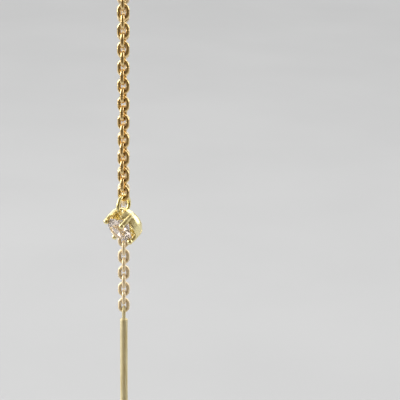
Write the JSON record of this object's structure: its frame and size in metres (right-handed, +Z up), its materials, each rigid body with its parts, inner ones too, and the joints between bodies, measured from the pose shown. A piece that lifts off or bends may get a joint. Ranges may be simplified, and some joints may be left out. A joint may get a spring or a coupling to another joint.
{
  "type": "threader earring with a claw-set stone",
  "caption": "Gold-coloured threader earring: a cable chain with a claw-set round stone at its front end and a plain bar at its back end.",
  "frame": {"origin": "top of the chain's bend, on its centre line, where it hangs from the ear lobe", "axes": "+Z up, the front strand with the stone on the -Y side, the back strand with the bar on the +Y side, X across both strands"},
  "size_m": [0.0038, 0.0084, 0.0642],
  "materials": {
    "front_chain_gold": "polished gold plate",
    "back_chain_gold": "polished gold plate",
    "jump_ring_gold": "polished gold plate",
    "setting_gold": "polished gold plate",
    "clear_stone": "faceted and polished",
    "bar_gold": "drawn and polished gold plate"
  },
  "bodies": {
    "root": {"front_chain": "front_chain_gold", "back_chain": "back_chain_gold", "jump_ring": "jump_ring_gold"},
    "drop": {"setting": "setting_gold", "stone": "clear_stone"},
    "bar": {"threader_bar": "bar_gold"}
  },
  "joints": [
    {"name": "drop_swing", "type": "hinge", "parent": "root", "child": "drop", "pos_m": [0, -0.00292, -0.02802], "axis": [-0.5878, -0.809, 0], "range_deg": [-30, 30]},
    {"name": "bar_swing", "type": "hinge", "parent": "root", "child": "bar", "pos_m": [0, 0.00292, -0.04068], "axis": [1, 0, 0], "range_deg": [-60, 60]}
  ]
}
